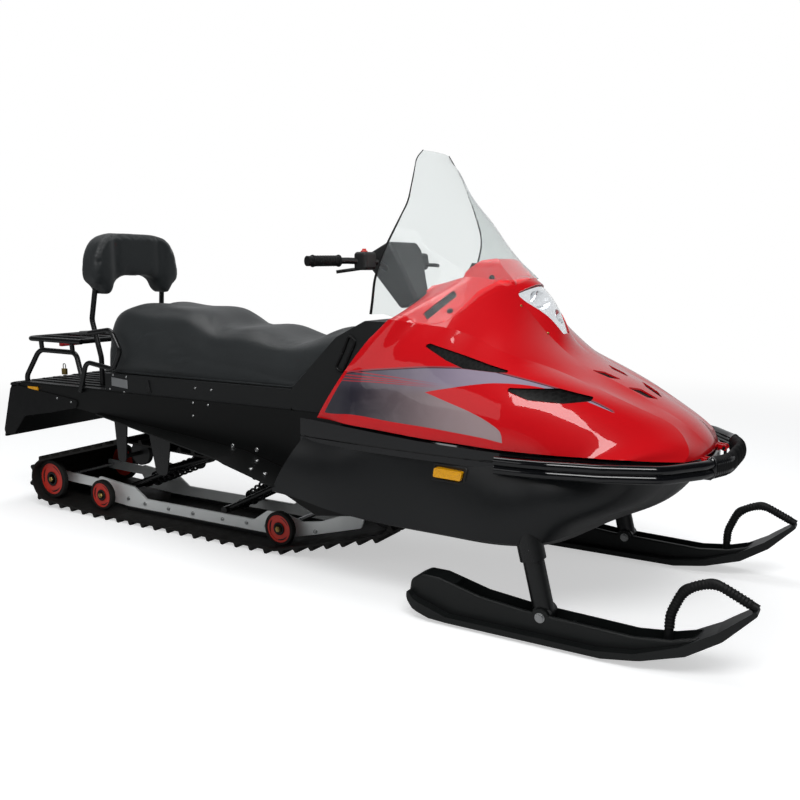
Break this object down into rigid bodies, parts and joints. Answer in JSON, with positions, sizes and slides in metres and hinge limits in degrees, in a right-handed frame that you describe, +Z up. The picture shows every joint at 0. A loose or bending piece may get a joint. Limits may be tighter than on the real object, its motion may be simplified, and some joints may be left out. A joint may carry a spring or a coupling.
{
  "type": "snowmobile",
  "caption": "Wide-track utility snowmobile with steered skis, a tilting hood, a windscreen, a long seat with backrest and a rear rack.",
  "frame": {"origin": "on the ground under the middle of the machine's length and width", "axes": "+X forward to the ski tips, +Y to the machine's left, +Z up"},
  "size_m": [3.2592, 1.012, 1.47],
  "materials": {
    "black_rubber": "matt",
    "red_plastic": "satin",
    "steel": "satin",
    "grey_aluminium": "satin",
    "black_plastic": "matt",
    "black_steel": "satin",
    "black_sheet": "satin",
    "black_gloss_plastic": "gloss",
    "engine_alloy": "matt",
    "seat_vinyl": "satin",
    "pad_vinyl": "satin",
    "red_lens": "gloss",
    "amber_lens": "gloss",
    "red_gloss": "gloss",
    "black_mesh": "matt",
    "lamp_silver": "gloss",
    "lamp_glass": "clear",
    "clear_screen": "clear",
    "ski_plastic": "matt",
    "loop_rubber": "matt"
  },
  "bodies": {
    "chassis": {"track_loop": "black_rubber", "wheel_discs": "red_plastic", "wheel_rings": "black_rubber", "wheel_axles": "steel", "slide_rails": "grey_aluminium", "slide_shoes": "black_plastic", "swing_arms": "black_steel", "suspension_brackets": "black_steel", "shocks": "black_steel", "springs": "black_steel", "carrier_rollers": "black_plastic", "drive_axle": "black_plastic", "tunnel": "black_sheet", "running_boards": "black_sheet", "belly_pan": "black_gloss_plastic", "belly_rim": "black_gloss_plastic", "front_bumper": "black_steel", "hood_hinges": "black_steel", "engine_block": "engine_alloy", "leg_struts": "black_steel", "fuel_tank": "black_plastic", "seat_base": "black_sheet", "seat_cushion": "seat_vinyl", "backrest_posts": "black_steel", "backrest_pad": "pad_vinyl", "tail_deck": "black_plastic", "rear_rack": "black_steel", "grab_rails": "black_steel", "snow_flap": "black_rubber", "tow_hitch": "black_steel", "tail_lamp": "red_lens", "reflectors": "amber_lens"},
    "hood": {"hood_shell": "red_gloss", "hood_grilles": "black_mesh", "headlamp": "lamp_silver", "headlamp_lens": "lamp_glass", "dash_cowl": "red_gloss", "gauge_panel": "black_plastic", "windscreen": "clear_screen"},
    "steering": {"handlebar": "black_steel", "grips": "black_rubber", "control_pods": "black_plastic", "bar_pad": "black_plastic", "levers": "black_plastic"},
    "leg_right_body": {"leg_right": "black_steel", "ski_bolt_right": "steel"},
    "ski_right_body": {"ski_right": "ski_plastic", "ski_loop_right": "loop_rubber", "ski_runner_right": "steel"},
    "leg_left_body": {"leg_left": "black_steel", "ski_bolt_left": "steel"},
    "ski_left_body": {"ski_left": "ski_plastic", "ski_loop_left": "loop_rubber", "ski_runner_left": "steel"}
  },
  "joints": [
    {"name": "hood_tilt", "type": "hinge", "parent": "chassis", "child": "hood", "pos_m": [1.433, 0, 0.515], "axis": [0, 1, 0], "range_deg": [0, 60]},
    {"name": "steering_turn", "type": "hinge", "parent": "chassis", "child": "steering", "pos_m": [0.296, 0, 1.096], "axis": [-0.454, 0, 0.891], "range_deg": [-30, 30]},
    {"name": "ski_turn_right", "type": "hinge", "parent": "chassis", "child": "leg_right_body", "pos_m": [1.05, -0.435, 0.078], "axis": [-0.2419, 0, 0.9703], "range_deg": [-27, 27]},
    {"name": "ski_rock_right", "type": "hinge", "parent": "leg_right_body", "child": "ski_right_body", "pos_m": [1.05, -0.435, 0.078], "axis": [0, 1, 0], "range_deg": [-12, 12]},
    {"name": "ski_turn_left", "type": "hinge", "parent": "chassis", "child": "leg_left_body", "pos_m": [1.05, 0.435, 0.078], "axis": [-0.2419, 0, 0.9703], "range_deg": [-27, 27]},
    {"name": "ski_rock_left", "type": "hinge", "parent": "leg_left_body", "child": "ski_left_body", "pos_m": [1.05, 0.435, 0.078], "axis": [0, 1, 0], "range_deg": [-12, 12]}
  ],
  "couplings": [
    {"joint": "ski_turn_right", "follows": "steering_turn", "ratio": 0.9},
    {"joint": "ski_turn_left", "follows": "steering_turn", "ratio": 0.9}
  ]
}
